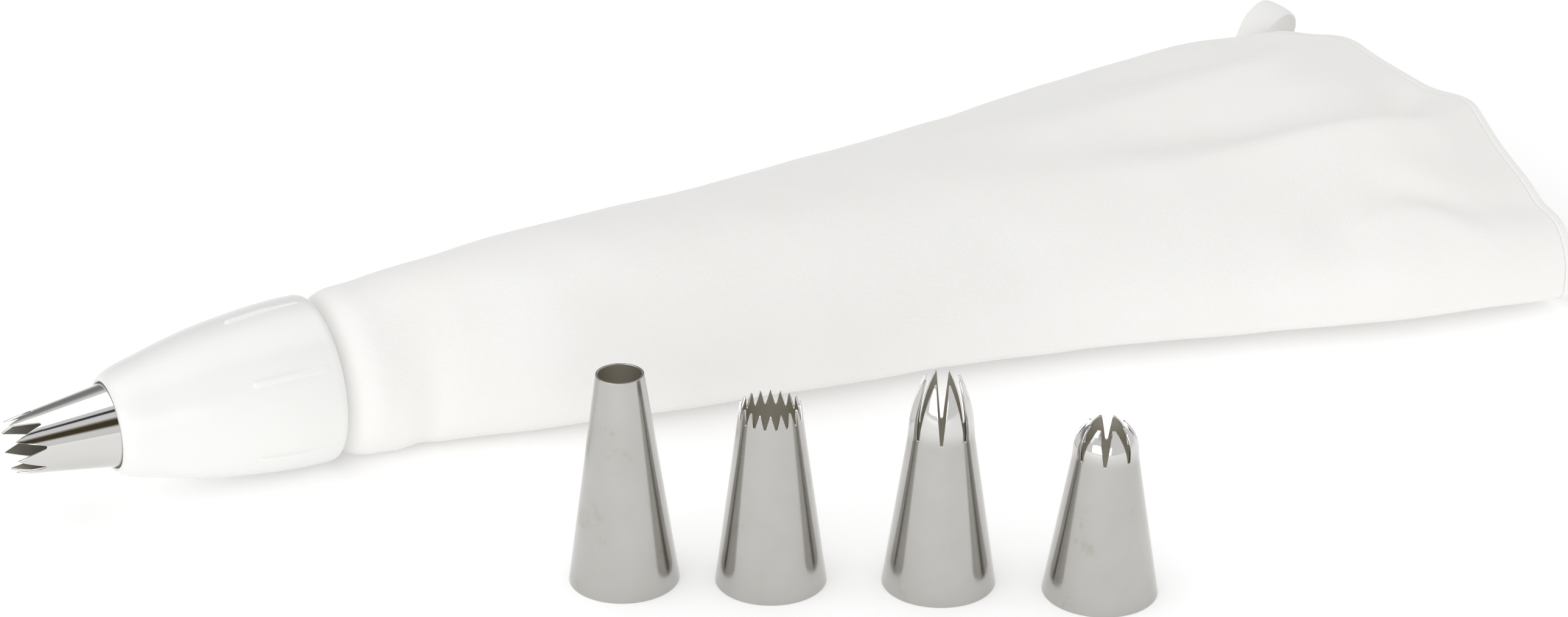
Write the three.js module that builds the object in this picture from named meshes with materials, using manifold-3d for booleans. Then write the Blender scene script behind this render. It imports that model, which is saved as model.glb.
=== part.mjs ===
// Pastry piping bag with a two-part screw coupler, a mounted star nozzle and
// four loose nozzles. Millimetres, +Z up, everything resting on the plane z = 0.
// The coupler's axis is level and runs along X: the nozzle points to -X and the
// bag opens towards +X. Stations along the bag are measured from the nut's rear rim.

import * as THREE from 'three';
import { mergeVertices } from 'three/addons/utils/BufferGeometryUtils.js';
import Module from 'manifold-3d';

const wasm = await Module();
wasm.setup();

// ---- Driving dimensions -------------------------------------------------

const AXIS_Z = 21.5;          // height of the coupler's axis over the table
const GAP = 0.3;              // clearance between pieces that touch
const ROUND = 32;             // segments round a turned piece

// Coupler nut, measured along its axis from the front lip
const NUT_LENGTH = 53.6;
const NUT_RIB_COUNT = 6;
const NUT_RIB = { from: 31, to: 50.5, width: 1.9, top: AXIS_Z, root: 18.9 };
const NUT_RIM_BORE = 18.6;

// Screw thread shared by the nut and the adapter
const PITCH = 4;
const THREAD_STEPS = 20;      // steps per turn
const RIDGE = { base: 1.5, crest: 0.8, embed: 0.4 };
const ADAPTER_THREAD = { root: 14.6, crest: 15.9, from: 21.5, turns: 3 };
const NUT_THREAD = { root: 16.3, crest: 15.0, from: 23.5, turns: 3 };

// Threaded adapter inside the bag's tip
const ADAPTER = { ring: 13.6, bore: 11.5, tubeBore: 12.6, tubeEnd: 41 };
const FUNNEL = { start: 44, end: 72, radius: 15.5, slope: 0.12, wall: 1.6 };

// Sheet-metal nozzles
const STEEL = 0.5;
const NOZZLE_TAPER = 0.157;   // radius lost per mm of height on the mounted nozzle
const TIP_CUTTER = { depth: 13, start: 1.5 };
const STAR = {
  base: 12.8, height: 40.2, behindLip: 16.5, tip: 6.4, turn: 12, bend: 1.2,
  teeth: 8, notch: 6.8, footWidth: 0.8, topWidth: 4.5,
};

// Coated fabric bag: outer half-sections at stations along X
const BAG_START = -7;
const BAG_END = 337.4;
const HEM_SLANT = 0.12;       // the mouth is cut at a slight angle: X gained per mm of Y
const BAG_WALL = 0.9;
const FLAT = 0.8;             // depth pressed flat by the table
const BAG_ROWS = 26;
const BAG_CROWDING = 1.7;      // rows crowd towards the tip, where the shape is small
const BAG_COLUMNS = 32;
const STATIONS = [            // x, near side y, far side y, top z, underside z
  { x: -7, near: -17, far: 17, top: 38.5, low: 4.5 },
  { x: 0, near: -18.2, far: 18.2, top: 39.7, low: 3.3 },
  { x: 4, near: -20, far: 20, top: 41.3, low: 1.4 },
  { x: 10, near: -21.4, far: 20.8, top: 42.3, low: 0.2 },
  { x: 20, near: -21.8, far: 21.5, top: 43.7, low: -FLAT },
  { x: 32, near: -25.4, far: 22.3, top: 45, low: -FLAT },
  { x: 60, near: -34.6, far: 26, top: 47.2, low: -FLAT },
  { x: 120, near: -47.3, far: 38.5, top: 45.4, low: -FLAT },
  { x: 180, near: -54.8, far: 52, top: 44.2, low: -FLAT },
  { x: 240, near: -71, far: 64, top: 45.8, low: -FLAT },
  { x: 300, near: -88, far: 74, top: 47.5, low: -FLAT },
  { x: 345, near: -92.5, far: 82, top: 40.5, low: -FLAT },
];

// Hem band round the mouth
const HEM = { width: 3, thickness: 2 };

// Hanging loop: a folded tape standing at the far end of the hem
const LOOP = {
  foot: new THREE.Vector3(353, 87, 8.5), lean: 40, turn: 20,
  height: 26, width: 17, tape: 10, thickness: 1.2,
  footGap: 1.6, shoulder: 0.6, waist: 0.55, steps: 24,
};

// Loose nozzles: where each one stands on the table
const LOOSE = {
  plain: { x: 36, y: -93.7, base: 12.8, height: 51.8, tip: 5.53 },
  fine: {
    x: 64.8, y: -111.5, base: 12.9, height: 44.8, tip: 6.95, turn: -20,
    teeth: 18, notch: 3.4, footWidth: 0.5, topWidth: 2.0,
  },
  petal: {
    x: 97.7, y: -131.7, base: 13.15, height: 51.5, tip: 4.3, turn: -33, shoulder: 7.5, bend: 1.9,
    teeth: 8, notch: 13.5, footWidth: 0.65, topWidth: 2.5,
  },
  dome: {
    x: 127.3, y: -154, base: 13.3, height: 42.3, tip: 4.4, turn: -37, shoulder: 7.45, bend: 2.6,
    teeth: 8, notch: 7.5, footWidth: 0.7, topWidth: 2.5,
  },
};

// ---- Materials ----------------------------------------------------------

const plastic = new THREE.MeshStandardMaterial({ color: 0xf4f3f1, roughness: 0.35, metalness: 0 });
const fabric = new THREE.MeshStandardMaterial({ color: 0xf1f0ed, roughness: 0.75, metalness: 0 });
const steel = new THREE.MeshStandardMaterial({ color: 0xc8c4c0, roughness: 0.25, metalness: 1 });

// ---- Solids -------------------------------------------------------------

function signedVolume(geometry) {
  const p = geometry.attributes.position, index = geometry.index;
  const a = new THREE.Vector3(), b = new THREE.Vector3(), c = new THREE.Vector3();
  let volume = 0;
  for (let i = 0; i < index.count; i += 3) {
    a.fromBufferAttribute(p, index.getX(i));
    b.fromBufferAttribute(p, index.getX(i + 1));
    c.fromBufferAttribute(p, index.getX(i + 2));
    volume += a.dot(b.cross(c)) / 6;
  }
  return volume;
}

// A closed three.js geometry as a solid, with its faces turned outwards
function toSolid(geometry) {
  geometry.deleteAttribute('normal');
  geometry.deleteAttribute('uv');
  const merged = mergeVertices(geometry, 1e-4);
  const triVerts = Uint32Array.from(merged.index.array);
  if (signedVolume(merged) < 0) {
    for (let i = 0; i < triVerts.length; i += 3) {
      [triVerts[i], triVerts[i + 1]] = [triVerts[i + 1], triVerts[i]];
    }
  }
  const vertProperties = Float32Array.from(merged.attributes.position.array);
  return new wasm.Manifold(new wasm.Mesh({ numProp: 3, vertProperties, triVerts }));
}

function toGeometry(solid) {
  const mesh = solid.getMesh();
  const geometry = new THREE.BufferGeometry();
  geometry.setAttribute('position', new THREE.BufferAttribute(mesh.vertProperties, 3));
  geometry.setIndex(new THREE.BufferAttribute(mesh.triVerts, 1));
  geometry.computeVertexNormals();
  return geometry;
}

function joined(solids) {
  return solids.reduce((whole, one) => whole.add(one));
}

// A ring turned round Z from a closed outline of [radius, z] points
function turned(outline) {
  const points = [...outline, outline[0]].map(([r, z]) => new THREE.Vector2(r, z));
  const geometry = new THREE.LatheGeometry(points, ROUND);
  geometry.rotateX(Math.PI / 2);
  return toSolid(geometry);
}

// A closed surface from rings of points. Rings in a loop join last to first;
// otherwise the two end rings are capped with a fan.
function lofted(rings, loop) {
  const n = rings[0].length, index = [];
  const positions = rings.flat().flatMap((v) => [v.x, v.y, v.z]);
  const last = loop ? rings.length : rings.length - 1;
  for (let i = 0; i < last; i++) {
    const here = i * n, next = ((i + 1) % rings.length) * n;
    for (let j = 0; j < n; j++) {
      const k = (j + 1) % n;
      index.push(here + j, next + j, next + k, here + j, next + k, here + k);
    }
  }
  if (!loop) {
    const end = (rings.length - 1) * n;
    for (let j = 1; j < n - 1; j++) {
      index.push(0, j, j + 1);
      index.push(end, end + j + 1, end + j);
    }
  }
  const geometry = new THREE.BufferGeometry();
  geometry.setAttribute('position', new THREE.Float32BufferAttribute(positions, 3));
  geometry.setIndex(index);
  return toSolid(geometry);
}

// Helical ridge round Z. Its crest fades in and out over a quarter turn.
function threadRidge({ root, crest, from, turns }) {
  const rings = [], steps = turns * THREAD_STEPS, fade = THREAD_STEPS / 4;
  const side = Math.sign(crest - root);
  for (let i = 0; i <= steps; i++) {
    const angle = i / THREAD_STEPS * 2 * Math.PI;
    const z = from + i / THREAD_STEPS * PITCH;
    const rise = Math.min(1, i / fade, (steps - i) / fade);
    const tip = root + (crest - root) * Math.max(rise, 0.05);
    const foot = root - side * RIDGE.embed;
    const at = (r, dz) => new THREE.Vector3(r * Math.cos(angle), r * Math.sin(angle), z + dz);
    rings.push([
      at(foot, -RIDGE.base / 2), at(tip, -RIDGE.crest / 2),
      at(tip, RIDGE.crest / 2), at(foot, RIDGE.base / 2),
    ]);
  }
  return lofted(rings, false);
}

// Turns a piece made round Z so that its Z runs along X from the nut's lip
function layAlongX(mesh) {
  mesh.rotation.y = Math.PI / 2;
  mesh.position.set(-NUT_LENGTH, 0, AXIS_Z);
  return mesh;
}

function part(name, solid, material) {
  const mesh = new THREE.Mesh(toGeometry(solid), material);
  mesh.name = name;
  return mesh;
}

// ---- Nozzles ------------------------------------------------------------

// Thin-walled shell from base (z = 0) upwards, through [radius, z] points
function shell(points) {
  const inner = points.map(([r, z]) => [r - STEEL, z]).reverse();
  return turned([...points, ...inner]);
}

// Notches cut between teeth: slots that widen upwards from a rounded foot
function notched(solid, { teeth, height, notch, footWidth, topWidth, turn }) {
  const shape = new THREE.Shape();
  const r = footWidth / 2, foot = height - notch;
  shape.moveTo(-r, foot + r);
  shape.absarc(0, foot + r, r, Math.PI, 2 * Math.PI, false);
  shape.lineTo(topWidth / 2, height + 0.01);
  shape.lineTo(topWidth / 2, height + 1);
  shape.lineTo(-topWidth / 2, height + 1);
  shape.lineTo(-topWidth / 2, height + 0.01);
  const cutters = [];
  for (let i = 0; i < teeth; i++) {
    const { depth, start } = TIP_CUTTER;
    const cutter = new THREE.ExtrudeGeometry(shape, { depth, bevelEnabled: false, curveSegments: 3 });
    cutter.translate(0, 0, start);
    cutter.rotateX(Math.PI / 2);
    cutter.rotateZ(THREE.MathUtils.degToRad(turn) + i / teeth * 2 * Math.PI);
    cutters.push(toSolid(cutter));
  }
  return solid.subtract(joined(cutters));
}

// Points bending inwards on an arc-like curve from [r0, z0] to [r1, z1]
function bentIn(r0, z0, r1, z1, steps, bend) {
  return Array.from({ length: steps }, (_, i) => {
    const t = (i + 1) / steps;
    return [r0 + (r1 - r0) * t ** bend, z0 + (z1 - z0) * t];
  });
}

// A straight cone with an open mouth
function coneNozzle({ base, height, tip }) {
  return shell([[base, 0], [tip, height]]);
}

function toothedCone(size) {
  return notched(coneNozzle(size), size);
}

// A cone whose teeth bend inwards from their roots
function bentToothNozzle(size, steps) {
  const { base, height, notch, shoulder, tip, bend } = size;
  const root = height - notch;
  const points = [[base, 0], [shoulder, root], ...bentIn(shoulder, root, tip, height, steps, bend)];
  return notched(shell(points), size);
}

function starNozzle() {
  const shoulder = STAR.base - NOZZLE_TAPER * (STAR.height - STAR.notch);
  return bentToothNozzle({ ...STAR, shoulder }, 3);
}

// ---- Coupler ------------------------------------------------------------

function couplerNut() {
  const seat = (d) => STAR.base - NOZZLE_TAPER * STAR.behindLip + NOZZLE_TAPER * d + GAP;
  const body = turned([
    [seat(0.6), 0.6], [10.9, 0], [11.5, 0.2], [12.5, 1.5], [13.4, 3.5], [15.2, 10], [17.0, 17],
    [18.5, 24], [19.7, 32], [20.6, 40], [21.0, 46], [21.0, 51], [20.7, 52.7],
    [20.1, NUT_LENGTH], [NUT_RIM_BORE, NUT_LENGTH], [NUT_RIM_BORE, 40.5], [NUT_THREAD.root, 38.5],
    [NUT_THREAD.root, 21.5], [14.1, 19.5], [14.1, 16.3], [seat(16.3), 16.3],
  ]);
  const shape = new THREE.Shape();
  const half = NUT_RIB.width / 2;
  shape.moveTo(NUT_RIB.to, -half);
  shape.lineTo(NUT_RIB.to, half);
  shape.lineTo(NUT_RIB.from + half, half);
  shape.absarc(NUT_RIB.from + half, 0, half, Math.PI / 2, 1.5 * Math.PI, false);
  const ribs = [];
  for (let i = 0; i < NUT_RIB_COUNT; i++) {
    const depth = NUT_RIB.top - NUT_RIB.root;
    const rib = new THREE.ExtrudeGeometry(shape, { depth, bevelEnabled: false, curveSegments: 4 });
    rib.translate(0, 0, NUT_RIB.root);
    rib.rotateY(-Math.PI / 2);
    rib.rotateZ(i / NUT_RIB_COUNT * 2 * Math.PI);
    ribs.push(toSolid(rib));
  }
  return joined([body, threadRidge(NUT_THREAD), ...ribs]);
}

function threadedAdapter() {
  const front = STAR.behindLip + GAP;
  const funnel = (d) => FUNNEL.radius + FUNNEL.slope * (d - FUNNEL.start);
  const body = turned([
    [ADAPTER.bore, front], [ADAPTER.ring, front], [ADAPTER.ring, front + 2],
    [ADAPTER_THREAD.root, front + 4.4], [ADAPTER_THREAD.root, ADAPTER.tubeEnd],
    [funnel(FUNNEL.start), FUNNEL.start], [funnel(FUNNEL.end), FUNNEL.end],
    [funnel(FUNNEL.end) - FUNNEL.wall, FUNNEL.end],
    [funnel(FUNNEL.start) - FUNNEL.wall, FUNNEL.start], [ADAPTER.tubeBore, ADAPTER.tubeEnd],
    [ADAPTER.tubeBore, front + 5], [ADAPTER.bore, front + 3],
  ]);
  return body.add(threadRidge(ADAPTER_THREAD));
}

// ---- Bag ----------------------------------------------------------------

const clamp01 = (t) => Math.min(1, Math.max(0, t));

function smooth(from, to, x) {
  const t = clamp01((x - from) / (to - from));
  return t * t * (3 - 2 * t);
}

const hump = (distance, width) => Math.exp(-((distance / width) ** 2));

// Smooth curve through the stations, as a cubic with averaged slopes
function station(key, x) {
  const last = STATIONS.length - 1;
  let i = 0;
  while (i < last - 1 && x > STATIONS[i + 1].x) i++;
  const rise = (a) => (STATIONS[a + 1][key] - STATIONS[a][key]) / (STATIONS[a + 1].x - STATIONS[a].x);
  const slope = (a) => (a === 0 ? rise(0) : a === last ? rise(last - 1) : (rise(a - 1) + rise(a)) / 2);
  const a = STATIONS[i], b = STATIONS[i + 1], width = b.x - a.x, t = (x - a.x) / width;
  const t2 = t * t, t3 = t2 * t;
  return (2 * t3 - 3 * t2 + 1) * a[key] + (t3 - 2 * t2 + t) * width * slope(i)
    + (3 * t2 - 2 * t3) * b[key] + (t3 - t2) * width * slope(i + 1);
}

// Long folds on the upper side: two ridges that run out of the mouth's corners,
// and a dent near the front corner
function folds(x, y) {
  const nearRidge = 4.8 * smooth(180, 331, x) * hump(y + 40 - 0.26 * (336 - x), 11);
  const farRidge = 1.8 * smooth(170, 300, x) * hump(y - 28 - 0.1 * (342 - x), 16);
  const dent = -3 * hump(x - 270, 40) * hump(y + 66, 14);
  return nearRidge + farRidge + dent;
}

// A point of the bag's outer face, or of a face set in by inset. along runs from
// 0 at the tip to 1 at the hem's edge; angle runs over the top from the far side.
function bagPoint(along, angle, inset) {
  const straight = BAG_START + (BAG_END + HEM.width - BAG_START) * along;
  const near = station('near', straight) + inset, far = station('far', straight) - inset;
  const top = station('top', straight) - inset, low = station('low', straight) + inset;
  const y = (near + far) / 2 + (far - near) / 2 * Math.cos(angle);
  const x = straight + HEM_SLANT * y * along * along;
  const wide = clamp01((x - 30) / 290), s = Math.sin(angle);
  const edge = low + (top - low) * (0.5 - 0.27 * wide);
  const roundness = s >= 0 ? 1 - 0.26 * wide : 1 - 0.5 * clamp01((x - 20) / 180);
  const reach = Math.abs(s) ** roundness;
  const z = s >= 0 ? edge + (top - edge) * reach + clamp01(3 * s) * folds(x, y) : edge - (edge - low) * reach;
  return new THREE.Vector3(x, y, Math.max(z, inset));
}

// A tube between two rings of the bag, from outset to inset round its wall
function bagTube(from, to, rows, outset, inset) {
  const ring = (along, depth) => Array.from({ length: BAG_COLUMNS },
    (_, j) => bagPoint(along, j / BAG_COLUMNS * 2 * Math.PI, depth));
  const steps = Array.from({ length: rows + 1 },
    (_, i) => from + (to - from) * (i / rows) ** BAG_CROWDING);
  const outer = steps.map((along) => ring(along, outset));
  const inner = steps.map((along) => ring(along, inset)).reverse();
  return lofted([...outer, ...inner], true);
}

const alongAt = (x) => (x - BAG_START) / (BAG_END + HEM.width - BAG_START);

function bagShell() {
  return bagTube(0, alongAt(BAG_END - GAP), BAG_ROWS, 0, BAG_WALL);
}

function topHem() {
  return bagTube(alongAt(BAG_END), 1, 1, 0, HEM.thickness);
}

// Tape folded into a standing loop, its two ends side by side at the foot
function hangingLoop() {
  const half = LOOP.width / 2;
  const { height, footGap, shoulder, waist, steps } = LOOP;
  const path = new THREE.CatmullRomCurve3([
    [-footGap, 0], [-half * waist, height * 0.3], [-half, height * 0.66],
    [-half * shoulder, height * 0.93], [0, height], [half * shoulder, height * 0.93],
    [half, height * 0.66], [half * waist, height * 0.3], [footGap, 0],
  ].map(([x, z]) => new THREE.Vector3(x, 0, z)));
  const rings = [];
  for (let i = 0; i <= steps; i++) {
    const p = path.getPoint(i / steps), t = path.getTangent(i / steps);
    const across = new THREE.Vector3(-t.z, 0, t.x).multiplyScalar(LOOP.thickness / 2);
    const side = new THREE.Vector3(0, LOOP.tape / 2, 0);
    rings.push([
      p.clone().add(across).add(side), p.clone().add(across).sub(side),
      p.clone().sub(across).sub(side), p.clone().sub(across).add(side),
    ]);
  }
  return lofted(rings, false);
}

// ---- Assembly -----------------------------------------------------------

const pieces = new THREE.Group();
pieces.add(part('bag_shell', bagShell(), fabric));
pieces.add(part('top_hem', topHem(), fabric));

const loop = part('hanging_loop', hangingLoop(), fabric);
loop.position.copy(LOOP.foot);
loop.rotation.y = THREE.MathUtils.degToRad(LOOP.lean);
loop.rotation.z = THREE.MathUtils.degToRad(LOOP.turn);
pieces.add(loop);

pieces.add(layAlongX(part('threaded_adapter', threadedAdapter(), plastic)));
pieces.add(layAlongX(part('coupler_nut', couplerNut(), plastic)));

const star = part('star_nozzle', starNozzle(), steel);
star.rotation.y = -Math.PI / 2;
star.position.set(STAR.behindLip - NUT_LENGTH, 0, AXIS_Z);
pieces.add(star);

const looseNozzles = [
  ['plain_nozzle', coneNozzle, LOOSE.plain],
  ['fine_tooth_nozzle', toothedCone, LOOSE.fine],
  ['petal_nozzle', (size) => bentToothNozzle(size, 4), LOOSE.petal],
  ['closed_star_nozzle', (size) => bentToothNozzle(size, 4), LOOSE.dome],
];
for (const [name, make, size] of looseNozzles) {
  const nozzle = part(name, make(size), steel);
  nozzle.position.set(size.x, size.y, 0);
  pieces.add(nozzle);
}

// The origin is the middle of the footprint, on the table
const box = new THREE.Box3().setFromObject(pieces, true);
const centre = box.getCenter(new THREE.Vector3());
pieces.position.set(-centre.x, -centre.y, 0);

const pipingBag = new THREE.Group();
pipingBag.add(pieces);

export default pipingBag;
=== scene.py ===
"""A pastry piping bag with its screw coupler, mounted star nozzle and four loose nozzles.

Shapes are worked out in millimetres on the coupler's axis: X runs from the nut's rear rim
towards the bag's mouth, Y away from the viewer and Z up from the table.
"""
import math

import bpy
import numpy as np
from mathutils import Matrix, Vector


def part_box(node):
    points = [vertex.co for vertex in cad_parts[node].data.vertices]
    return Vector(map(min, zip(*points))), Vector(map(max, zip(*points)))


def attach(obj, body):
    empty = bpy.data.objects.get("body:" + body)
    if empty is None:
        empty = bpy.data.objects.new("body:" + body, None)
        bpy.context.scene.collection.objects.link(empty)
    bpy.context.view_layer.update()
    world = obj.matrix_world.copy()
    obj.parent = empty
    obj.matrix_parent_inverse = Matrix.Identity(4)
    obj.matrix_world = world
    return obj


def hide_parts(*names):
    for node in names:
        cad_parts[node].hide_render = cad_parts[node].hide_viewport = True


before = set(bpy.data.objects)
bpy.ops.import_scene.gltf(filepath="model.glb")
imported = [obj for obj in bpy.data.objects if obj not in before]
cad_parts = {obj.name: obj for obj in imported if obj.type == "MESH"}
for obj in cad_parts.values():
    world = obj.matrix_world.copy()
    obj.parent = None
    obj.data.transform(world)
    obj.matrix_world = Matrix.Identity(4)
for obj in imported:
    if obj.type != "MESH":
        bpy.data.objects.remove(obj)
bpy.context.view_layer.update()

# ---- Sizes, in millimetres ----------------------------------------------

MM = 0.001
AXIS_Z = 21.5
NUT_LENGTH = 53.6
NOZZLE_TAPER = 0.157
STAR_BASE = 12.8
BEHIND_LIP = 16.5             # how far the mounted nozzle reaches into the nut
PITCH = 4.0                   # of the screw thread
STEEL = 0.5                   # sheet thickness of the nozzles
CLOTH = 0.5                   # thickness of the coated fabric
BAG_START, BAG_END = -7.0, 337.4
HEM_WIDTH = 3.0
HEM_SLANT = 0.12              # how much further the far side of the mouth reaches
HEM_ROLL = 0.6                # how far the hem stands out on each side
FLAT = 0.8                    # the underside is drawn this far down, then eased up onto the table
SEAM_TURN = 0.12              # the side seam's place round the bag, in radians from the far edge
COLUMNS_AT = 200.0            # where along the bag the mesh's columns lie evenly
COLUMNS = 300

nut_low, nut_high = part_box("coupler_nut")
ORIGIN = np.array([nut_high.x, (nut_low.y + nut_high.y) / 2, 0.0])

STATIONS = np.array([         # x, near side y, far side y, top z, underside z
    (-7, -17, 17, 38.5, 4.5),
    (0, -18.2, 18.2, 39.7, 3.3),
    (4, -20, 20, 41.3, 1.4),
    (10, -21.4, 20.8, 42.3, 0.2),
    (20, -21.8, 21.5, 43.7, -FLAT),
    (32, -25.4, 22.3, 45, -FLAT),
    (60, -34.6, 26, 47.2, -FLAT),
    (120, -47.3, 38.5, 45.4, -FLAT),
    (180, -54.8, 52, 44.2, -FLAT),
    (240, -71, 64, 45.8, -FLAT),
    (300, -88, 74, 47.5, -FLAT),
    (345, -92.5, 82, 40.5, -FLAT),
])

RIDGE, FAR_RIDGE = 4.3, 2.2   # heights of the long folds, and depths of the hollows beside them
VALLEY, FAR_VALLEY = 5.8, 3.6
DENT, DENT_CREASE = 2.5, 1.7
RIM_FALL = 2.6

# ---- Small maths --------------------------------------------------------


def smooth(start, end, x):
    t = np.clip((x - start) / (end - start), 0, 1)
    return t * t * (3 - 2 * t)


def hump(distance, width):
    return np.exp(-((distance / width) ** 2))


def hermite(keys, values, x):
    """Smooth curve through the values, as a cubic with averaged slopes."""
    keys, values, x = (np.asarray(a, float) for a in (keys, values, x))
    rise = np.diff(values) / np.diff(keys)
    slope = np.concatenate([rise[:1], (rise[:-1] + rise[1:]) / 2, rise[-1:]])
    i = np.clip(np.searchsorted(keys, x, side="right") - 1, 0, len(keys) - 2)
    width = keys[i + 1] - keys[i]
    t = (x - keys[i]) / width
    t2, t3 = t * t, t * t * t
    return ((2 * t3 - 3 * t2 + 1) * values[i] + (t3 - 2 * t2 + t) * width * slope[i]
            + (3 * t2 - 2 * t3) * values[i + 1] + (t3 - t2) * width * slope[i + 1])


def curve(points, count):
    """count points on a smooth line through the points, evenly spaced."""
    points = np.array(points, float)
    run = np.concatenate([[0], np.cumsum(np.linalg.norm(np.diff(points, axis=0), axis=1))])
    along = np.linspace(0, run[-1], count)
    return np.stack([hermite(run, points[:, k], along) for k in range(points.shape[1])], axis=1)


def line(start, end, step):
    """Points from start towards end, about step apart, without the last."""
    start, end = np.array(start, float), np.array(end, float)
    count = max(1, round(np.linalg.norm(end - start) / step))
    return start + (end - start) * (np.arange(count) / count)[:, None]


def waves(u, v, seed, count=7, shortest=30.0, longest=110.0):
    """A soft, repeatable unevenness between about -1 and 1."""
    rng = np.random.default_rng(seed)
    total = np.zeros(np.broadcast(u, v).shape)
    for _ in range(count):
        length = rng.uniform(shortest, longest)
        turn = rng.uniform(0, math.tau)
        phase = rng.uniform(0, math.tau)
        total = total + np.sin((u * math.cos(turn) + v * math.sin(turn)) * math.tau / length + phase)
    return total / count


# ---- Materials ----------------------------------------------------------


class Nodes:
    """Short names for making a node material."""

    def __init__(self, name):
        self.material = bpy.data.materials.new(name)
        self.material.use_nodes = True
        self.tree = self.material.node_tree
        self.shader = self.tree.nodes["Principled BSDF"]

    def add(self, kind, **settings):
        node = self.tree.nodes.new(kind)
        for key, value in settings.items():
            if key[0].isupper():
                node.inputs[key.replace("_", " ")].default_value = value
            else:
                setattr(node, key, value)
        return node

    def link(self, out, into):
        self.tree.links.new(out, into)

    def set(self, **values):
        for key, value in values.items():
            self.shader.inputs[key.replace("_", " ")].default_value = value

    def coordinates(self, output, scale):
        place = self.add("ShaderNodeTexCoord")
        mapping = self.add("ShaderNodeMapping", Scale=scale)
        self.link(place.outputs[output], mapping.inputs["Vector"])
        return mapping.outputs["Vector"]

    def noise(self, vector, scale, detail=3.0, roughness=0.5):
        node = self.add("ShaderNodeTexNoise", Scale=scale, Detail=detail, Roughness=roughness)
        self.link(vector, node.inputs["Vector"])
        return node.outputs["Fac"]

    def ramp(self, value, stops):
        node = self.add("ShaderNodeValToRGB")
        elements = node.color_ramp.elements
        while len(elements) < len(stops):
            elements.new(0.5)
        for element, (position, colour) in zip(elements, stops):
            element.position = position
            element.color = (*colour, 1)
        self.link(value, node.inputs["Fac"])
        return node.outputs["Color"]

    def mix_colour(self, factor, first, second):
        """first is a socket and second a colour."""
        node = self.add("ShaderNodeMix", data_type="RGBA")
        self.link(factor, node.inputs["Factor"])
        self.link(first, node.inputs[6])
        node.inputs[7].default_value = second
        return node.outputs[2]

    def span(self, value, low, high, from_low=0.0, from_high=1.0):
        node = self.add("ShaderNodeMapRange")
        limits = {"From Min": from_low, "From Max": from_high, "To Min": low, "To Max": high}
        for name, number in limits.items():
            node.inputs[name].default_value = number
        self.link(value, node.inputs["Value"])
        return node.outputs["Result"]

    def math(self, operation, a, b):
        node = self.add("ShaderNodeMath", operation=operation)
        for socket, value in zip(node.inputs, (a, b)):
            if isinstance(value, (int, float)):
                socket.default_value = value
            else:
                self.link(value, socket)
        return node.outputs["Value"]

    def bump(self, height, distance, strength=1.0, after=None):
        node = self.add("ShaderNodeBump", Strength=strength, Distance=distance)
        self.link(height, node.inputs["Height"])
        if after:
            self.link(after, node.inputs["Normal"])
        return node.outputs["Normal"]


def weave(nodes, vector, pitch):
    """Height of a plain weave whose threads lie pitch metres apart."""
    scale = math.tau / 20 / pitch
    across = nodes.add("ShaderNodeTexWave", bands_direction="X", Scale=scale, Distortion=0.0)
    along = nodes.add("ShaderNodeTexWave", bands_direction="Y", Scale=scale, Distortion=0.0)
    for wave in (across, along):
        nodes.link(vector, wave.inputs["Vector"])
    return nodes.math("MAXIMUM", across.outputs["Fac"], along.outputs["Fac"])


def cloth_material(name, light, dark, pitch, roughness):
    nodes = Nodes(name)
    flat = nodes.coordinates("UV", (1, 1, 1))
    space = nodes.coordinates("Object", (1, 1, 1))
    mottle = nodes.noise(space, 26, 5, 0.6)
    nodes.link(nodes.ramp(mottle, [(0.3, dark), (0.7, light)]), nodes.shader.inputs["Base Color"])
    wear = nodes.noise(space, 140, 4)
    nodes.link(nodes.span(wear, roughness - 0.07, roughness + 0.08), nodes.shader.inputs["Roughness"])
    grain = nodes.noise(space, 1500, 2)
    threads = weave(nodes, flat, pitch)
    fine = nodes.bump(nodes.math("ADD", threads, grain), 0.00004, 0.35)
    soft = nodes.bump(nodes.noise(space, 75, 4, 0.55), 0.0006, 0.16, fine)
    nodes.link(soft, nodes.shader.inputs["Normal"])
    nodes.set(Sheen_Weight=0.12, Sheen_Roughness=0.5, Subsurface_Weight=0.12, Subsurface_Scale=0.002)
    nodes.set(Subsurface_Radius=(1.0, 0.9, 0.8), Specular_IOR_Level=0.35)
    return nodes.material


def plastic_material(name, light, dark, roughness):
    nodes = Nodes(name)
    space = nodes.coordinates("Object", (1, 1, 1))
    cloud = nodes.noise(space, 40, 4)
    nodes.link(nodes.ramp(cloud, [(0.3, dark), (0.7, light)]), nodes.shader.inputs["Base Color"])
    scuffs = nodes.noise(nodes.coordinates("Object", (30, 900, 900)), 1.0, 5, 0.6)
    nodes.link(nodes.span(scuffs, roughness - 0.06, roughness + 0.1), nodes.shader.inputs["Roughness"])
    skin = nodes.bump(nodes.noise(space, 900, 3), 0.00003, 0.4)
    nodes.link(skin, nodes.shader.inputs["Normal"])
    nodes.set(Subsurface_Weight=0.2, Subsurface_Scale=0.003, Subsurface_Radius=(1.0, 0.95, 0.9))
    nodes.set(Coat_Weight=0.15, Coat_Roughness=0.15)
    return nodes.material


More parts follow.
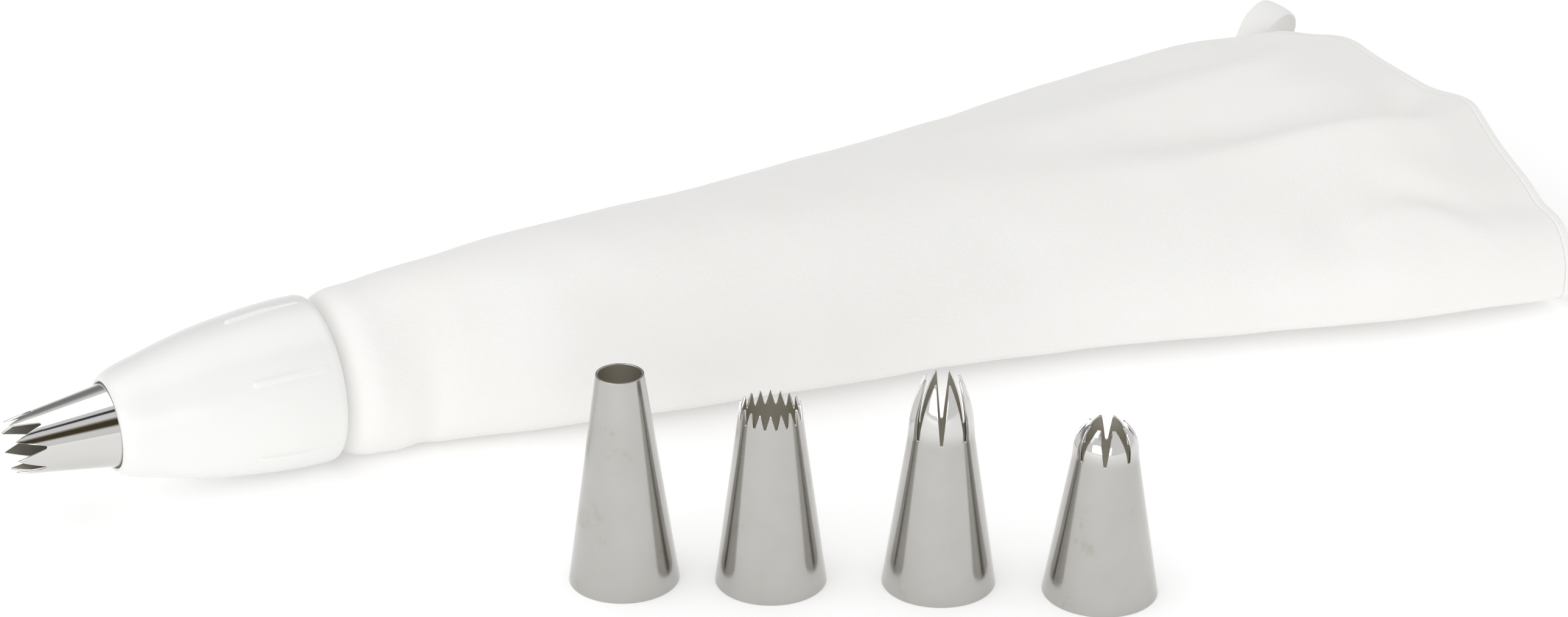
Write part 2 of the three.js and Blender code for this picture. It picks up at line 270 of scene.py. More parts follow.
def steel_material(name, satin, polished):
    """Turned sheet steel: a brushed body, and bright where the teeth were formed."""
    nodes = Nodes(name)
    polish = nodes.add("ShaderNodeAttribute", attribute_name="polish").outputs["Fac"]
    rings = nodes.noise(nodes.coordinates("UV", (14, 5200, 1)), 1.0, 4, 0.65)
    space = nodes.coordinates("Object", (1, 1, 1))
    stains = nodes.noise(space, 95, 5, 0.65)
    tint = nodes.ramp(stains, [(0.24, (0.40, 0.375, 0.33)), (0.38, (0.475, 0.463, 0.44)),
                               (0.75, (0.50, 0.49, 0.472))])
    inside = nodes.add("ShaderNodeAttribute", attribute_name="inside").outputs["Fac"]
    bright = nodes.mix_colour(polish, tint, (0.68, 0.675, 0.66, 1))
    pale = nodes.mix_colour(inside, bright, (0.84, 0.81, 0.74, 1))
    nodes.link(pale, nodes.shader.inputs["Base Color"])
    grooves, patches = nodes.span(rings, satin - 0.04, satin + 0.04), nodes.span(stains, 0.03, -0.03)
    brushed = nodes.math("ADD", grooves, patches)
    rough = nodes.add("ShaderNodeMix", data_type="FLOAT")
    nodes.link(polish, rough.inputs["Factor"])
    nodes.link(brushed, rough.inputs["A"])
    rough.inputs["B"].default_value = polished
    dull = nodes.math("MULTIPLY", inside, 0.38)
    nodes.link(nodes.math("MAXIMUM", rough.outputs["Result"], dull), nodes.shader.inputs["Roughness"])
    strength = nodes.span(polish, 0.00001, 0.000002)
    scratches = nodes.add("ShaderNodeBump", Strength=0.6)
    nodes.link(rings, scratches.inputs["Height"])
    nodes.link(strength, scratches.inputs["Distance"])
    nodes.link(scratches.outputs["Normal"], nodes.shader.inputs["Normal"])
    nodes.set(Metallic=1.0, Anisotropic=0.25)
    return nodes.material


bag_cloth = cloth_material("bag_fabric", (0.905, 0.895, 0.875), (0.89, 0.877, 0.85), 0.00045, 0.55)
hem_cloth = cloth_material("hem_fabric", (0.895, 0.885, 0.865), (0.88, 0.868, 0.84), 0.00045, 0.55)
tape_cloth = cloth_material("loop_tape", (0.89, 0.885, 0.87), (0.84, 0.835, 0.82), 0.0007, 0.6)
white_plastic = plastic_material("coupler_plastic", (0.845, 0.845, 0.83), (0.832, 0.83, 0.812), 0.32)
steel = steel_material("nozzle_steel", 0.13, 0.06)

# ---- Meshes -------------------------------------------------------------


def add_mesh(name, rings, uv, material, sharp, attributes=None, open_ends=False):
    """A surface from rings of points in millimetres; the last ring joins the first unless it is open.
    uv holds one more column than the rings, in metres."""
    rows, columns = rings.shape[:2]
    i, j = np.meshgrid(np.arange(rows - open_ends), np.arange(columns), indexing="ij")
    near, far = i % rows, (i + 1) % rows
    wrap = (j + 1) % columns
    corners = [near * columns + j, near * columns + wrap, far * columns + wrap, far * columns + j]
    faces = np.stack(corners, axis=-1)
    corner_uv = np.stack([uv[near, j], uv[near, j + 1], uv[far, j + 1], uv[far, j]], axis=-2)
    faces, corner_uv = faces.reshape(-1, 4), corner_uv.reshape(-1, 4, 2)
    points = rings.reshape(-1, 3)
    a, b, c, d = (points[faces[:, k]] for k in range(4))
    volume = (a * np.cross(b, c)).sum() + (a * np.cross(c, d)).sum()
    if volume < 0:
        faces, corner_uv = faces[:, ::-1], corner_uv[:, ::-1]
    mesh = bpy.data.meshes.new(name)
    mesh.from_pydata((points * MM + ORIGIN).tolist(), [], faces.tolist())
    layer = mesh.uv_layers.new(name="UVMap")
    layer.data.foreach_set("uv", corner_uv.reshape(-1).astype(np.float32))
    for key, values in (attributes or {}).items():
        stored = mesh.attributes.new(key, "FLOAT", "POINT")
        stored.data.foreach_set("value", values.reshape(-1).astype(np.float32))
    mesh.materials.append(material)
    mesh.shade_smooth()
    mesh.set_sharp_from_angle(angle=math.radians(sharp))
    obj = bpy.data.objects.new(name, mesh)
    bpy.context.scene.collection.objects.link(obj)
    return obj


def turned_uv(rows, columns, girth, run):
    u = np.broadcast_to(np.arange(columns + 1) / columns * girth * MM, (rows, columns + 1))
    v = np.broadcast_to(run[:, None] * MM, (rows, columns + 1))
    return np.stack([u, v], axis=-1)


def finish_piece(obj, body, node):
    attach(obj, body)
    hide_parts(node)
    return obj


# ---- Nozzles ------------------------------------------------------------

PLAIN_COLUMNS = 96
BASE_EDGE = [0, 0.12, 0.3]    # heights of the rings that round the base's edge
RIM_EDGE = 0.06               # bevel along the mouth and the teeth


def bent_radius(z, base, root, root_radius, height, tip, bend):
    """Outer radius: a straight cone up to the root of the teeth, then bending in."""
    cone = base + (root_radius - base) * np.minimum(z, root) / root
    t = np.clip((z - root) / max(height - root, 0.001), 0, 1)
    return cone + (tip - root_radius) * t ** bend


def nozzle(name, base, height, tip, root, root_radius, bend=1.0, teeth=None, turn=0, place=None, polish=0.0):
    """Sheet-steel nozzle, standing at place or, without one, mounted in the nut.
    base, root_radius and tip are radii; the teeth run from root to height.
    teeth is (count, notch foot width, notch top width), or None for a plain mouth."""
    def radius(z):
        return bent_radius(z, base, root, root_radius, height, tip, bend)

    if teeth:
        count, foot_width, top_width = teeth
        foot = foot_width / 2
        notch_base = root + foot
        z = np.concatenate([np.linspace(root, notch_base, 14), np.linspace(notch_base, height, 60)[1:]])
        rounded = np.sqrt(np.maximum(foot ** 2 - (notch_base - z) ** 2, 0))
        widening = foot + (top_width / 2 - foot) * np.clip((z - notch_base) / (height - notch_base), 0, 1)
        half_angle = np.arcsin(np.where(z < notch_base, rounded, widening) / radius(z))
        half_angle = np.maximum.accumulate(half_angle)
        pitch = math.tau / count
        foot_steps = np.concatenate([np.linspace(0, 0.5, 4)[1:], [1.0]])
        flank = np.interp(foot_steps * foot + root, z, half_angle)
        rest = np.interp(np.linspace(notch_base, height, 9)[1:], z, half_angle)
        side = np.concatenate([[0], flank, rest])
        land = np.linspace(side[-1], pitch / 2, 3)[1:]
        half = np.concatenate([side, land])
        one = np.concatenate([-half[::-1], half[1:]])[:-1]
        start = math.radians(turn) - math.pi / 2
        angles = (start + np.arange(count)[:, None] * pitch + one[None, :]).reshape(-1)
        tops = np.tile(np.interp(np.abs(one), half_angle, z), count)
        tops = np.where(np.tile(np.abs(one), count) >= half_angle[-1], height, tops)
    else:
        angles = np.linspace(0, math.tau, PLAIN_COLUMNS, endpoint=False)
        tops = np.full(PLAIN_COLUMNS, float(height))
    shoulder = min(root, height) - 1.5
    low = np.concatenate([BASE_EDGE, np.linspace(1.5, shoulder, 20)])
    share = np.linspace(0, 1, 15)[1:]
    z = np.concatenate([np.repeat(low[:, None], len(angles), axis=1),
                        shoulder + share[:, None] * (tops - shoulder)[None, :]])
    outer = radius(z)
    outer[0] -= 0.1
    inner = radius(z[::-1]) - STEEL
    z_outer, z_inner = z.copy(), z[::-1].copy()
    z_outer[-1] = z[-1] - RIM_EDGE
    z_inner[0] = z[-1] - RIM_EDGE
    crest_r = np.stack([radius(z[-1]) - RIM_EDGE, radius(z[-1]) - STEEL + RIM_EDGE])
    crest_z = np.stack([z[-1], z[-1]])
    r = np.concatenate([outer, crest_r, inner])
    height_at = np.concatenate([z_outer, crest_z, z_inner])
    x, y = r * np.cos(angles), r * np.sin(angles)
    if place:
        rings = np.stack([place[0] + x, place[1] + y, height_at], axis=-1)
    else:
        rings = np.stack([BEHIND_LIP - NUT_LENGTH - height_at, y, AXIS_Z + x], axis=-1)
    rows, columns = r.shape
    turn_share = np.append((angles - angles[0]) / math.tau, 1.0)
    v = np.concatenate([height_at, height_at[:, :1]], axis=1)
    uv = np.stack([np.broadcast_to(turn_share * base * math.tau, (rows, columns + 1)), v], axis=-1) * MM
    bright = 0.85 * smooth(root - 1.2, root + 3.5, height_at) if bend > 1 else np.zeros_like(height_at)
    bright = np.maximum(bright, polish)
    bright[len(z):len(z) + 2] = 1.0
    inside = np.zeros_like(height_at)
    inside[len(z) + 2:] = 1.0
    return add_mesh(name, rings, uv, steel, 38, {"polish": bright, "inside": inside})


def cone_at(base, tip, height, z):
    """Radius of a straight cone at height z."""
    return base + (tip - base) * z / height


star = nozzle("star_tip", base=STAR_BASE, height=40.2, tip=6.4, root=33.4,
              root_radius=STAR_BASE - NOZZLE_TAPER * 33.4, bend=1.2,
              teeth=(8, 0.8, 4.75), turn=12, polish=0.85)
finish_piece(star, "mounted_nozzle", "star_nozzle")

plain = nozzle("plain_tip", base=12.8, height=51.8, tip=5.53, root=51.8, root_radius=5.53, place=(36, -93.7))
finish_piece(plain, "plain_tip", "plain_nozzle")

fine = nozzle("fine_tooth_tip", base=12.9, height=44.8, tip=6.95, root=41.4,
              root_radius=cone_at(12.9, 6.95, 44.8, 41.4),
              teeth=(18, 0.5, 2.2), turn=-20, place=(64.8, -111.5))
finish_piece(fine, "fine_tooth_tip", "fine_tooth_nozzle")

petal = nozzle("petal_tip", base=13.15, height=51.5, tip=4.3, root=38.0, root_radius=7.5, bend=1.9,
               teeth=(8, 0.65, 3.1), turn=-33, place=(97.7, -131.7))
finish_piece(petal, "petal_tip", "petal_nozzle")

dome = nozzle("closed_star_tip", base=13.3, height=42.3, tip=4.4, root=34.8, root_radius=7.45, bend=2.6,
              teeth=(8, 0.7, 2.8), turn=-37, place=(127.3, -154))
finish_piece(dome, "closed_star_tip", "closed_star_nozzle")

# ---- Coupler ------------------------------------------------------------

RIBS, RIB_HALF, RIB_SOFT = 6, 1.0, 0.55
RIB_TOP, RIB_HEIGHT = 21.3, 0.6
RIB_FROM, RIB_TO = 31, 49.6   # distances back from the lip
REAR_BORE, THREAD_BORE, NECK_BORE = 18.6, 16.3, 14.1
NOSE, SCREW, SCREW_BORE = 13.6, 14.6, 12.6    # the adapter's radii
SKIRT_END, SKIRT_RADIUS, SKIRT_WALL = 72, 18.86, 1.6
THREAD_HEIGHT, THREAD_TURNS, THREAD_HALF = 1.25, 3, 0.75


def thread_height(angle, d, first):
    """How far the thread stands at this angle and distance; its ends run out in a quarter turn."""
    height = np.zeros(np.broadcast(angle, d).shape)
    for k in range(THREAD_TURNS):
        turn = angle / math.tau + k
        gap = np.abs(d - first - turn * PITCH)
        rise = np.clip(np.minimum(turn, THREAD_TURNS - turn) * 4, 0, 1)
        height = np.maximum(height, (1 - smooth(THREAD_HALF * 0.5, THREAD_HALF, gap)) * rise)
    return height * THREAD_HEIGHT


def along_axis(angle, r, d):
    """Points on the coupler's axis: d runs back from the nut's lip."""
    return np.stack([d - NUT_LENGTH + 0 * r, r * np.sin(angle), AXIS_Z - r * np.cos(angle)], axis=-1)


def nut():
    """Six-ribbed nut: a curved outside and a stepped, threaded bore that tapers to hold the nozzle."""
    outer = curve([(10.68, 0.22), (10.95, 0), (11.5, 0.25), (12.45, 1.4), (13.4, 3.5), (15.2, 10),
                   (17.0, 17), (18.5, 24), (19.7, 32), (20.6, 40), (21.0, 46), (21.05, 50.5),
                   (20.95, 52.2), (20.55, 53.2), (19.9, NUT_LENGTH)], 120)
    seat, step = STAR_BASE - NOZZLE_TAPER * BEHIND_LIP + 0.3, 16.3
    inner = np.concatenate([
        line((19.9, NUT_LENGTH), (18.9, NUT_LENGTH), 0.5)[1:],
        line((18.9, NUT_LENGTH), (REAR_BORE, 53.2), 0.3),
        line((REAR_BORE, 53.2), (REAR_BORE, 40.5), 3),
        line((REAR_BORE, 40.5), (THREAD_BORE, 38.5), 1),
        line((THREAD_BORE, 38.5), (THREAD_BORE, 21.5), 0.28),
        line((THREAD_BORE, 21.5), (NECK_BORE, 19.5), 1),
        line((NECK_BORE, 19.5), (NECK_BORE, step), 1.6),
        line((NECK_BORE, step), (seat + NOZZLE_TAPER * step, step), 0.6),
        line((seat + NOZZLE_TAPER * step, step), (seat + NOZZLE_TAPER * 0.6, 0.6), 3),
    ])
    profile = np.concatenate([outer, inner])
    sector = math.tau / RIBS
    offsets = np.concatenate([np.linspace(-0.075, 0.075, 23), np.linspace(0.11, sector - 0.11, 15)])
    angles = (np.arange(RIBS)[:, None] * sector + offsets[None, :]).reshape(-1)
    r = np.repeat(profile[:, :1], len(angles), axis=1)
    d = np.repeat(profile[:, 1:], len(angles), axis=1)
    outside = np.arange(len(profile))[:, None] < len(outer)
    aside = np.abs((angles + sector / 2) % sector - sector / 2) * 21
    past_front = np.maximum(0, RIB_FROM + RIB_HALF - d)
    reach = np.sqrt(aside[None, :] ** 2 + past_front ** 2)
    rib = (1 - smooth(RIB_HALF - RIB_SOFT, RIB_HALF, reach)) * (1 - smooth(RIB_TO, RIB_TO + 1, d))
    r = r + outside * rib * np.clip(RIB_TOP - r, 0, RIB_HEIGHT)
    r = r - ~outside * thread_height(angles % math.tau, d, 23.5)
    run = np.concatenate([[0], np.cumsum(np.linalg.norm(np.diff(profile, axis=0), axis=1))])
    return add_mesh("screw_nut", along_axis(angles, r, d), turned_uv(*r.shape, 120, run), white_plastic, 40)


def adapter():
    """Threaded nose in front, and behind it a skirt that spreads the bag's tip."""
    front, lip = BEHIND_LIP + 0.3, 11.5
    skirt_bore = SKIRT_RADIUS - SKIRT_WALL
    outer = np.concatenate([
        line((lip, front), (13.3, front), 0.6),
        line((13.3, front), (NOSE, front + 0.3), 0.2),
        line((NOSE, front + 0.3), (NOSE, front + 2), 0.6),
        line((NOSE, front + 2), (SCREW, front + 4.4), 0.6),
        line((SCREW, front + 4.4), (SCREW, 36), 0.28),
        line((SCREW, 36), (SCREW, 41), 1.5),
        line((SCREW, 41), (15.5, 44), 0.8),
        line((15.5, 44), (SKIRT_RADIUS, SKIRT_END), 3.5),
        line((SKIRT_RADIUS, SKIRT_END), (skirt_bore, SKIRT_END), 0.5),
    ])
    inner = np.concatenate([
        line((skirt_bore, SKIRT_END), (13.9, 44), 3.5),
        line((13.9, 44), (SCREW_BORE, 41), 0.8),
        line((SCREW_BORE, 41), (SCREW_BORE, front + 5), 3),
        line((SCREW_BORE, front + 5), (lip, front + 3), 0.8),
        line((lip, front + 3), (lip, front), 1),
    ])
    profile = np.concatenate([outer, inner])
    angles = np.linspace(0, math.tau, 144, endpoint=False)
    r = np.repeat(profile[:, :1], len(angles), axis=1)
    d = np.repeat(profile[:, 1:], len(angles), axis=1)
    outside = np.arange(len(profile))[:, None] < len(outer)
    r = r + outside * thread_height(angles, d, 21.5)
    run = np.concatenate([[0], np.cumsum(np.linalg.norm(np.diff(profile, axis=0), axis=1))])
    uv = turned_uv(*r.shape, 100, run)
    return add_mesh("inner_coupler", along_axis(angles, r, d), uv, white_plastic, 40)


finish_piece(nut(), "nut", "coupler_nut")
finish_piece(adapter(), "bag", "threaded_adapter")

# ---- Bag ----------------------------------------------------------------


def station(column, x):
    return hermite(STATIONS[:, 0], STATIONS[:, column], x)


def near_ridge_at(x):
    return -49.5 + 0.18 * np.maximum(312 - x, 0) + 9.5 * smooth(308, 337, x)


def far_ridge_at(x):
    return 3 + 16 * smooth(295, 340, x)


def dent_at(x):
    return -77 + 12 * smooth(308, 280, x)


def folds(x, y):
    """Long folds on the upper side, running in from the corners of the mouth."""
    past = y - near_ridge_at(x) - 0.5
    near_ridge = RIDGE * smooth(180, 331, x) * hump(past, np.where(past > 0, 17, 11))
    far_ridge = FAR_RIDGE * smooth(170, 300, x) * hump(y - far_ridge_at(x) - 5, 15)
    dent = -DENT * hump(x - 270, 35) * hump(y - dent_at(x), 13)
    fall = -RIM_FALL * smooth(285, 335, x) * hump(y + 70, 18)
    return near_ridge + far_ridge + dent + fall


def bag_surface(straight, angle):
    """Points of the bag's outer face; angle 0 is the far edge and half a turn the near edge."""
    along = (straight - BAG_START) / (BAG_END + HEM_WIDTH - BAG_START)
    near, far = station(1, straight), station(2, straight)
    top, low = station(3, straight), station(4, straight)
    y = (near + far) / 2 + (far - near) / 2 * np.cos(angle)
    x = straight + HEM_SLANT * y * along * along
    wide, s = np.clip((x - 30) / 290, 0, 1), np.sin(angle)
    edge = low + (top - low) * (0.5 - 0.27 * wide)
    under = 1 - 0.5 * np.clip((x - 20) / 180, 0, 1)
    reach = np.abs(s) ** np.where(s >= 0, 1 - 0.26 * wide, under)
    upper = edge + (top - edge) * reach + np.clip(3 * s, 0, 1) * folds(x, y)
    z = np.where(s >= 0, upper, edge - (edge - low) * reach)
    return np.stack([x, y, z], axis=-1)


def cloth_detail(points, angle):
    """How far the cloth stands out from its plain shape: creases, slack and the side seam."""
    x, y = points[..., 0], points[..., 1]
    s = np.sin(angle)
    slack = 0.7 * smooth(20, 70, x) * waves(x, angle * 40, 3)
    ripple = waves(x, angle * 22, 8, count=9, shortest=14, longest=40)
    slack = slack + 0.3 * smooth(10, 50, x) * ripple
    step = smooth(-0.6, 0.3, -s) * (0.4 * hump(x - 16, 3.4) - 0.5 * hump(x - 22.5, 3.2))
    collar = 0.5 * hump(x - 8, 4) - 0.6 * hump(x - 1.5, 2.5)
    upper = smooth(0.1, 0.45, s)
    near_at, far_at, low_at = near_ridge_at(x), far_ridge_at(x), dent_at(x)
    crest = 1.5 * smooth(205, 300, x) * hump(y - near_at, 5)
    crest = crest + 1.2 * smooth(190, 300, x) * hump(y - far_at, 6)
    valley = -VALLEY * smooth(180, 285, x) * hump(y - near_at - 18, 11.5)
    valley = valley - FAR_VALLEY * smooth(190, 290, x) * hump(y - far_at - 22, 12)
    dent = -DENT_CREASE * smooth(255, 285, x) * hump(y - low_at, 5.5)
    dent = dent + 0.7 * smooth(265, 290, x) * hump(y - low_at + 8, 5)
    dent = dent - 1.4 * hump(x - 263, 10) * hump(y + 70, 7)
    at_rim = smooth(318, 340, x)
    creases = upper * (crest * (1 - 0.8 * at_rim) + valley * (1 - 0.9 * at_rim) + dent * (1 - 0.5 * at_rim))
    seam_at = np.abs((angle + SEAM_TURN + math.pi) % math.tau - math.pi)
    seam = 0.35 * (1 - smooth(0.035, 0.05, seam_at)) - 0.25 * hump(seam_at - 0.06, 0.008)
    hem_pull = smooth(318, 334, x)
    return (slack + step + collar) * (1 - 0.6 * hem_pull) + creases + seam * smooth(12, 30, x)


def surface_normals(rings):
    """Outward directions of a closed tube of rings."""
    around = np.roll(rings, -1, axis=1) - np.roll(rings, 1, axis=1)
    along = np.gradient(rings, axis=0)
    normal = np.cross(around, along)
    normal /= np.linalg.norm(normal, axis=-1, keepdims=True) + 1e-9
    outward = rings - rings.mean(axis=1, keepdims=True)
    return normal * np.sign((normal * outward).sum())


def even_angles(straight, count):
    """Angles that lie evenly round the bag at one station."""
    fine = np.linspace(0, math.tau, 6001)
    ring = bag_surface(np.array([[straight]]), fine[None, :])[0]
    run = np.concatenate([[0], np.cumsum(np.linalg.norm(np.diff(ring, axis=0), axis=1))])
    return np.interp(np.linspace(0, run[-1], count, endpoint=False), run, fine)


def resting(z):
    """Heights with everything below the table eased up onto it."""
    return (z + np.sqrt(z * z + 0.5)) / 2


straights = np.concatenate([np.linspace(BAG_START, 34, 60)[:-1], np.linspace(34, BAG_END + HEM_WIDTH, 190)])
angles = even_angles(COLUMNS_AT, COLUMNS)
plain_rings = bag_surface(straights[:, None], angles[None, :])
outward = surface_normals(plain_rings)
detail = cloth_detail(plain_rings, angles[None, :] + 0 * straights[:, None])
cloth_rings = plain_rings + outward * detail[..., None]
cloth_rings[..., 2] = resting(cloth_rings[..., 2])
outward = surface_normals(cloth_rings)


def sheet_uv(rings):
    """Flat cloth coordinates: distance along, and distance round from the far side."""
    step = np.linalg.norm(np.roll(rings, -1, axis=1) - rings, axis=-1)
    around = np.concatenate([np.zeros((len(rings), 1)), np.cumsum(step, axis=1)], axis=1)
    middle = around[:, -1:] / 2
    down = np.concatenate([[0], np.cumsum(np.linalg.norm(np.diff(rings.mean(axis=1), axis=0), axis=1))])
    return np.stack([np.broadcast_to(down[:, None], around.shape), around - middle], axis=-1) * MM


def layered(name, rings, normals, thickness, material):
    """A sheet of cloth: its outer face on the rings, and an inner face thickness below it."""
    outer = rings.copy()
    inner = rings - normals * thickness
    outer[..., 2] = np.maximum(outer[..., 2], 0)
    inner[..., 2] = np.maximum(inner[..., 2], outer[..., 2].min() + thickness * 0.6)
    uv = sheet_uv(rings)
    return add_mesh(name, np.concatenate([outer, inner[::-1]]), np.concatenate([uv, uv[::-1]]), material, 50)


is_body = straights < BAG_END + 1.0          # the cloth runs on a little under the hem
body_rings, body_out = cloth_rings[is_body], outward[is_body]
bag = layered("bag_cloth", body_rings, body_out, CLOTH, bag_cloth)
finish_piece(bag, "bag", "bag_shell")

hem_straights = np.linspace(BAG_END, BAG_END + HEM_WIDTH, 14)
hem_plain = bag_surface(hem_straights[:, None], angles[None, :])
hem_detail = cloth_detail(hem_plain, angles[None, :] + 0 * hem_straights[:, None])
hem_out = surface_normals(hem_plain)
hem_rings = hem_plain + hem_out * hem_detail[..., None]
hem_rings[..., 2] = resting(hem_rings[..., 2])
across = np.linspace(0, 1, 14)
roll = HEM_ROLL * np.sqrt(np.maximum(1 - (2 * across - 1) ** 6, 0))
hem_outer = hem_rings + hem_out * (roll - CLOTH / 2)[:, None, None]
hem_inner = hem_rings + hem_out * (-CLOTH / 2 - roll)[:, None, None]
for ring in (hem_outer, hem_inner):
    ring[..., 2] = np.maximum(ring[..., 2], 0)
hem_inner[..., 2] = np.maximum(hem_inner[..., 2], 0.25)
hem_uv = sheet_uv(hem_rings)
hem = add_mesh("mouth_hem", np.concatenate([hem_outer, hem_inner[::-1]]),
               np.concatenate([hem_uv, hem_uv[::-1]]), hem_cloth, 60)
finish_piece(hem, "bag", "top_hem")

# ---- Hanging loop -------------------------------------------------------


LOOP_FOOT, LOOP_LEAN, LOOP_TURN = (353, 87, 8.5), math.radians(40), math.radians(20)
LOOP_HEIGHT, LOOP_HALF = 26, 8.5
TAPE, TAPE_THICKNESS, TAPE_LENGTH = 10.0, 1.0, 80.0
TUCK_BACK, TUCK_UP = 7.5, 4.5  # how far the tape's ends move to lie in the hem


def hanging_loop():
    """A folded tape; its two ends run on below the foot and into the hem."""
    height, half, tape, thick = LOOP_HEIGHT, LOOP_HALF, TAPE, TAPE_THICKNESS
    waist = half * 0.55
    right = [(half * 0.6, height * 0.93), (half, height * 0.66), (waist, height * 0.3),
             (1.5, 0.6), (0.75, -4), (0.7, -9)]
    left = [(-x, z) for x, z in reversed(right)]
    path = curve(left + [(0, height)] + right, 130)
    tangent = np.gradient(path, axis=0)
    tangent /= np.linalg.norm(tangent, axis=1, keepdims=True)
    normal = np.stack([-tangent[:, 1], tangent[:, 0]], axis=1)
    angle = np.linspace(0, math.tau, 48, endpoint=False)
    side = np.sign(np.cos(angle)) * np.abs(np.cos(angle)) ** 0.35 * tape / 2
    face = np.sign(np.sin(angle)) * np.abs(np.sin(angle)) ** 0.6 * thick / 2
    welt = 0.22 * hump(np.abs(side) - tape * 0.4, 0.35)
    offset = face * (1 - welt) + 0.35 * (1 - (side / (tape / 2)) ** 2)
    x = path[:, :1] + normal[:, :1] * offset[None, :]
    z = path[:, 1:] + normal[:, 1:] * offset[None, :]
    y = np.broadcast_to(side[None, :], x.shape)
    cosine, sine = math.cos(LOOP_TURN), math.sin(LOOP_TURN)
    x, y = x * cosine - y * sine, x * sine + y * cosine
    cosine, sine = math.cos(LOOP_LEAN), math.sin(LOOP_LEAN)
    tucked = smooth(0.5, -9, z)
    rings = np.stack([LOOP_FOOT[0] + x * cosine + z * sine,
                      LOOP_FOOT[1] + y - TUCK_BACK * tucked,
                      LOOP_FOOT[2] - x * sine + z * cosine + TUCK_UP * tucked], axis=-1)
    run = np.concatenate([[0], np.cumsum(np.linalg.norm(np.diff(path, axis=0), axis=1))])
    return rings, turned_uv(*x.shape, 2 * (tape + thick), run)


loop_rings, loop_uv = hanging_loop()
caps = [loop_rings[k].mean(axis=0) + 0 * loop_rings[k] for k in (0, -1)]
loop_rings = np.concatenate([[caps[0]], loop_rings, [caps[1]]])
loop_uv = np.concatenate([loop_uv[:1], loop_uv, loop_uv[-1:]])
loop = add_mesh("tape_loop", loop_rings, loop_uv, tape_cloth, 50, None, True)
finish_piece(loop, "loop", "hanging_loop")

# ---- Studio -------------------------------------------------------------


def stage_plane(name, centre, right, up, width, height, material):
    """A flat card; centre in millimetres, right and up are directions."""
    right, up = (np.array(v, float) / np.linalg.norm(v) for v in (right, up))
    corners = [np.array(centre) + right * width * a + up * height * b
               for a, b in ((-0.5, -0.5), (0.5, -0.5), (0.5, 0.5), (-0.5, 0.5))]
    mesh = bpy.data.meshes.new(name)
    mesh.from_pydata([tuple(c * MM + ORIGIN) for c in corners], [], [(0, 1, 2, 3)])
    layer = mesh.uv_layers.new(name="UVMap")
    layer.data.foreach_set("uv", (0.0, 0.0, 1.0, 0.0, 1.0, 1.0, 0.0, 1.0))
    mesh.materials.append(material)
    obj = bpy.data.objects.new(name, mesh)
    bpy.context.scene.collection.objects.link(obj)
    return obj


floor_paint = Nodes("studio_floor")
speck = floor_paint.noise(floor_paint.coordinates("Object", (1, 1, 1)), 3.0, 2)
floor_paint.link(floor_paint.ramp(speck, [(0.3, (0.93, 0.93, 0.93)), (0.7, (0.945, 0.945, 0.945))]),
                 floor_paint.shader.inputs["Base Color"])
floor_paint.set(Roughness=0.9, Specular_IOR_Level=0.1, Emission_Color=(1, 1, 1, 1), Emission_Strength=0.2)
stage_plane("studio_floor", (150, 0, -0.05), (1, 0, 0), (0, 1, 0), 12000, 12000, floor_paint.material)

VIEW_TURN = math.radians(30.37)
forward = np.array([math.sin(VIEW_TURN), math.cos(VIEW_TURN), 0])
rightward = np.array([math.cos(VIEW_TURN), -math.sin(VIEW_TURN), 0])
upward = np.array([0, 0, 1])


def card_paint(name, dark, light, glow=0.0):
    paint = Nodes(name)
    shade = paint.noise(paint.coordinates("Object", (1, 1, 1)), 4.0, 2)
    middle = paint.ramp(shade, [(0.3, dark), (0.7, light)])
    height = paint.add("ShaderNodeSeparateXYZ")
    paint.link(paint.coordinates("UV", (1, 1, 1)), height.inputs["Vector"])
    white, black = (1, 1, 1), (0, 0, 0)
    edge = paint.ramp(height.outputs["Y"], [(0.0, white), (0.22, black), (0.7, black), (1.0, white)])
    paint.link(paint.mix_colour(edge, middle, (0.8, 0.8, 0.8, 1)), paint.shader.inputs["Base Color"])
    paint.set(Roughness=0.9, Specular_IOR_Level=0.0, Emission_Color=(1, 1, 1, 1), Emission_Strength=glow)
    side = paint.add("ShaderNodeNewGeometry")
    clear = paint.add("ShaderNodeBsdfTransparent")
    one_sided = paint.add("ShaderNodeMixShader")
    paint.link(side.outputs["Backfacing"], one_sided.inputs["Fac"])
    paint.link(clear.outputs["BSDF"], one_sided.inputs[1])
    paint.link(paint.shader.outputs["BSDF"], one_sided.inputs[2])
    paint.link(one_sided.outputs["Shader"], paint.tree.nodes["Material Output"].inputs["Surface"])
    return paint.material


def glossy_card(name, azimuth, from_elevation, to_elevation, spread, distance, material):
    """A card that only shiny surfaces see. Angles are in degrees from the mounted nozzle:
    azimuth 0 is towards -Y and turns towards +X, and elevation runs over the top."""
    turn, rise = math.radians(azimuth), math.radians((from_elevation + to_elevation) / 2)
    level = np.array([math.sin(turn), -math.cos(turn), 0])
    towards = level * math.cos(rise) + upward * math.sin(rise)
    side = np.cross(upward, level)
    tall = 2 * distance * math.tan(math.radians((to_elevation - from_elevation) / 2))
    wide = 2 * distance * math.tan(math.radians(spread / 2))
    centre = np.array([-70, 0, AXIS_Z]) + towards * distance
    card = stage_plane(name, centre, side, np.cross(towards, side), wide, tall, material)
    card.visible_camera = False
    card.visible_diffuse = False
    card.visible_shadow = False
    card.visible_transmission = False
    return card


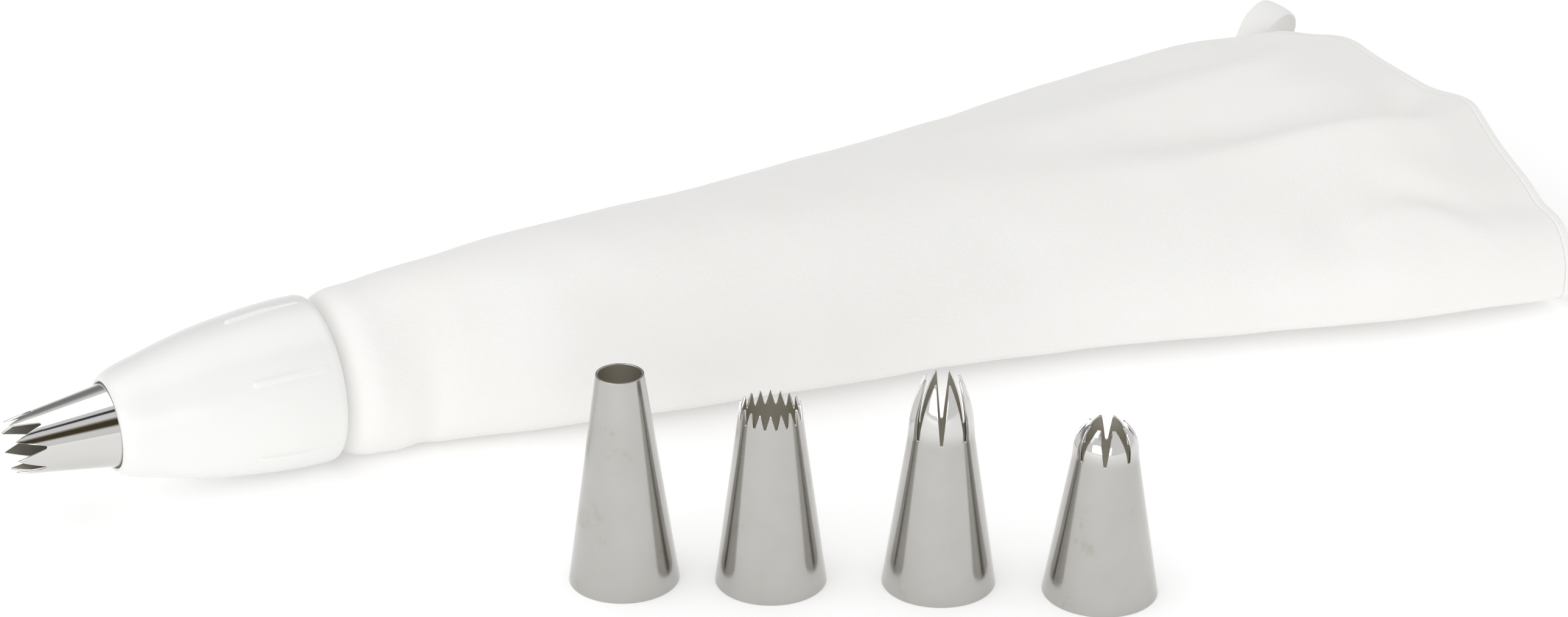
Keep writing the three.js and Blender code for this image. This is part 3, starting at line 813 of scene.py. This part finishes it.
dark_grey = card_paint("studio_card_dark", (0.03, 0.035, 0.045), (0.07, 0.075, 0.09))
brown = card_paint("studio_card_brown", (0.05, 0.04, 0.02), (0.14, 0.11, 0.06))
mid_grey = card_paint("studio_card_grey", (0.22, 0.22, 0.22), (0.3, 0.3, 0.3))
bright_white = card_paint("studio_card_white", (0.8, 0.8, 0.8), (0.85, 0.85, 0.85), 0.85)
glossy_card("card_front", 12, 56, 66, 60, 900, dark_grey)
glossy_card("card_low", 0, 18, 43, 50, 80, brown)
glossy_card("card_top", 0, 74, 122, 80, 900, bright_white)
glossy_card("card_back", 0, 130, 178, 90, 1000, mid_grey)

world = bpy.data.worlds.new("studio_world")
world.use_nodes = True
background = world.node_tree.nodes["Background"]
background.inputs["Color"].default_value = (1.0, 1.0, 1.0, 1)
background.inputs["Strength"].default_value = 0.85
bpy.context.scene.world = world


def soft_light(name, sideways, back, height, size, power):
    data = bpy.data.lights.new(name, "AREA")
    data.shape = "RECTANGLE"
    data.size, data.size_y = size
    data.energy = power
    light = bpy.data.objects.new(name, data)
    target = np.array([140, 0, 20])
    place = target + rightward * sideways - forward * back + upward * height
    light.location = tuple(place * MM + ORIGIN)
    aim = (target - place) / np.linalg.norm(target - place)
    light.rotation_euler = Vector(aim).to_track_quat("-Z", "Y").to_euler()
    light.visible_camera = False
    bpy.context.scene.collection.objects.link(light)
    return light


soft_light("key_light", -350, 1100, 300, (1.5, 0.5), 3.4)
soft_light("top_light", -900, 200, 900, (0.8, 0.8), 0.9)

bpy.context.scene.view_settings.view_transform = "Standard"

FRAME_WIDTH, FOCAL_LENGTH = 2576, 5212.6     # in pixels of the whole frame
LOOK_DOWN = 23.98
EYE = np.array([-258.2, -668.7, 354.6])

camera_data = bpy.data.cameras.new("camera")
camera_data.sensor_width = 36.0
camera_data.lens = FOCAL_LENGTH / FRAME_WIDTH * camera_data.sensor_width
camera_data.clip_start, camera_data.clip_end = 0.01, 50
camera = bpy.data.objects.new("camera", camera_data)
camera.location = tuple(EYE * MM + ORIGIN)
camera.rotation_euler = (math.radians(90 - LOOK_DOWN), 0, -VIEW_TURN)
bpy.context.scene.collection.objects.link(camera)
bpy.context.scene.camera = camera
